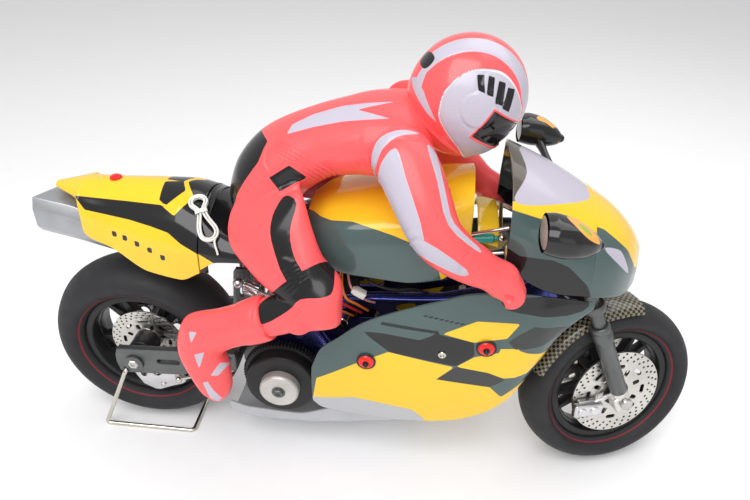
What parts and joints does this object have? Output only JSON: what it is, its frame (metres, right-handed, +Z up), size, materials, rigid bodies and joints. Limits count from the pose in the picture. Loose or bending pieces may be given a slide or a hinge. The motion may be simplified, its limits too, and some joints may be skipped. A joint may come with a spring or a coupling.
{
  "type": "radio-controlled racing motorcycle model",
  "caption": "Model racing motorcycle with a crouched helmeted rider, plastic fairings, steered sprung fork, sprung swingarm, geared drive and a folding wire rear stand.",
  "frame": {"origin": "middle of the footprint of the overall box, on the floor", "axes": "+X forward along the motorcycle, +Y to its left, +Z up"},
  "size_m": [0.4396, 0.158, 0.2848],
  "materials": {
    "tyre": "matte black slick rubber",
    "black": "satin black moulded plastic",
    "black_gloss": "gloss black painted shell",
    "steel": "machined steel",
    "chrome": "bright plated wire",
    "aluminium": "machined aluminium",
    "grey_metal": "dark anodised aluminium",
    "blue_metal": "blue anodised aluminium",
    "yellow": "gloss yellow painted shell",
    "green": "gloss grey-green painted shell",
    "silver_paint": "satin silver painted plastic",
    "suit": "satin coral-red vinyl",
    "helmet": "coral-red moulded plastic with silver bands",
    "red": "red rubber cap",
    "smoke": "smoked clear screen with a frosted silver panel",
    "carbon": "carbon-weave patterned plastic",
    "white": "white insulated wire and plastic",
    "brass": "machined brass"
  },
  "bodies": {
    "chassis": {"frame_plate_right": "blue_metal", "frame_plate_left": "blue_metal", "steering_head": "blue_metal", "battery_pack": "black", "steering_servo": "black", "receiver": "black", "drive_motor": "steel", "tail_cowl": "yellow", "seat": "black_gloss", "tank_cover": "yellow", "side_fairing_right": "green", "side_fairing_left": "green", "belly_pan": "silver_paint", "nose_cowl": "green", "windscreen": "smoke", "silencer": "silver_paint", "cowl_bracket": "yellow", "mirror_right": "black", "mirror_left": "black", "rider_torso": "suit", "rider_helmet": "helmet", "rider_arm_right": "suit", "rider_arm_left": "suit", "rider_leg_right": "suit", "rider_leg_left": "suit", "rider_boot_right": "suit", "rider_boot_left": "suit", "fairing_cap_front": "red", "fairing_cap_rear": "red", "tank_cap": "red", "handlebar": "steel", "antenna_hank": "white", "antenna_wire": "white"},
    "swingarm": {"swingarm": "grey_metal", "drive_chain": "steel", "rear_caliper_bracket": "aluminium", "rear_caliper": "aluminium"},
    "rear_wheel": {"rear_tyre": "tyre", "rear_rim": "black", "rear_brake_disc": "steel", "rear_sprocket": "steel", "rear_axle": "steel"},
    "stand": {"rear_stand": "chrome"},
    "drive_shaft": {"drive_gear": "black", "drive_shaft": "steel", "front_sprocket": "steel"},
    "motor_shaft": {"motor_pinion": "brass"},
    "fork_crown": {"fork_crown": "grey_metal"},
    "fork_lower": {"fork_leg_right": "grey_metal", "fork_leg_left": "grey_metal", "front_fender": "carbon", "front_caliper": "aluminium", "front_axle": "steel"},
    "front_wheel": {"front_tyre": "tyre", "front_rim": "black", "front_brake_disc_right": "steel", "front_brake_disc_left": "steel"},
    "shock_cylinder": {"shock_cylinder": "steel"},
    "shock_rod": {"shock_rod": "chrome"},
    "servo_horn": {"servo_horn": "white"}
  },
  "joints": [
    {"name": "swingarm_pivot", "type": "hinge", "parent": "chassis", "child": "swingarm", "pos_m": [-0.05274, 0, 0.065], "axis": [0, 1, 0], "range_deg": [0, 4.5], "stiffness_Nm_per_rad": 4, "springref_deg": -28.65},
    {"name": "rear_wheel_spin", "type": "hinge", "parent": "swingarm", "child": "rear_wheel", "pos_m": [-0.15434, 0, 0.066], "axis": [0, 1, 0], "continuous": true},
    {"name": "stand_fold", "type": "hinge", "parent": "swingarm", "child": "stand", "pos_m": [-0.16084, 0, 0.0595], "axis": [0, 1, 0], "range_deg": [0, 116]},
    {"name": "drive_spin", "type": "hinge", "parent": "chassis", "child": "drive_shaft", "pos_m": [-0.05274, 0, 0.065], "axis": [0, 1, 0], "continuous": true},
    {"name": "motor_spin", "type": "hinge", "parent": "chassis", "child": "motor_shaft", "pos_m": [-0.02174, 0, 0.0763], "axis": [0, 1, 0], "continuous": true},
    {"name": "steering", "type": "hinge", "parent": "chassis", "child": "fork_crown", "pos_m": [0.15932, 0, 0.05853], "axis": [-0.4067, 0, 0.9135], "range_deg": [-43.5, 2.5]},
    {"name": "fork_slide", "type": "slide", "parent": "fork_crown", "child": "fork_lower", "axis": [-0.4067, 0, 0.9135], "range_m": [0, 0.01], "stiffness_N_per_m": 1500, "springref_m": -0.01},
    {"name": "front_wheel_spin", "type": "hinge", "parent": "fork_lower", "child": "front_wheel", "pos_m": [0.16189, 0.00105, 0.05967], "axis": [-0.3199, 0.9367, -0.1424], "continuous": true},
    {"name": "shock_swing", "type": "hinge", "parent": "chassis", "child": "shock_cylinder", "pos_m": [-0.03634, -0.0253, 0.116], "axis": [0, 1, 0], "range_deg": [0, 6]},
    {"name": "shock_slide", "type": "slide", "parent": "shock_cylinder", "child": "shock_rod", "axis": [0.9111, 0, -0.4122], "range_m": [0, 0.0044]},
    {"name": "servo_turn", "type": "hinge", "parent": "chassis", "child": "servo_horn", "pos_m": [0.06066, 0, 0.118], "axis": [0, 0, 1], "range_deg": [-44, 3]}
  ],
  "couplings": [
    {"joint": "drive_spin", "follows": "rear_wheel_spin", "ratio": 2.2525},
    {"joint": "motor_spin", "follows": "rear_wheel_spin", "ratio": -10.86},
    {"joint": "shock_swing", "follows": "swingarm_pivot", "ratio": 1.252},
    {"joint": "shock_slide", "follows": "swingarm_pivot", "m_per_rad": 0.05246},
    {"joint": "servo_turn", "follows": "steering", "ratio": 1}
  ]
}
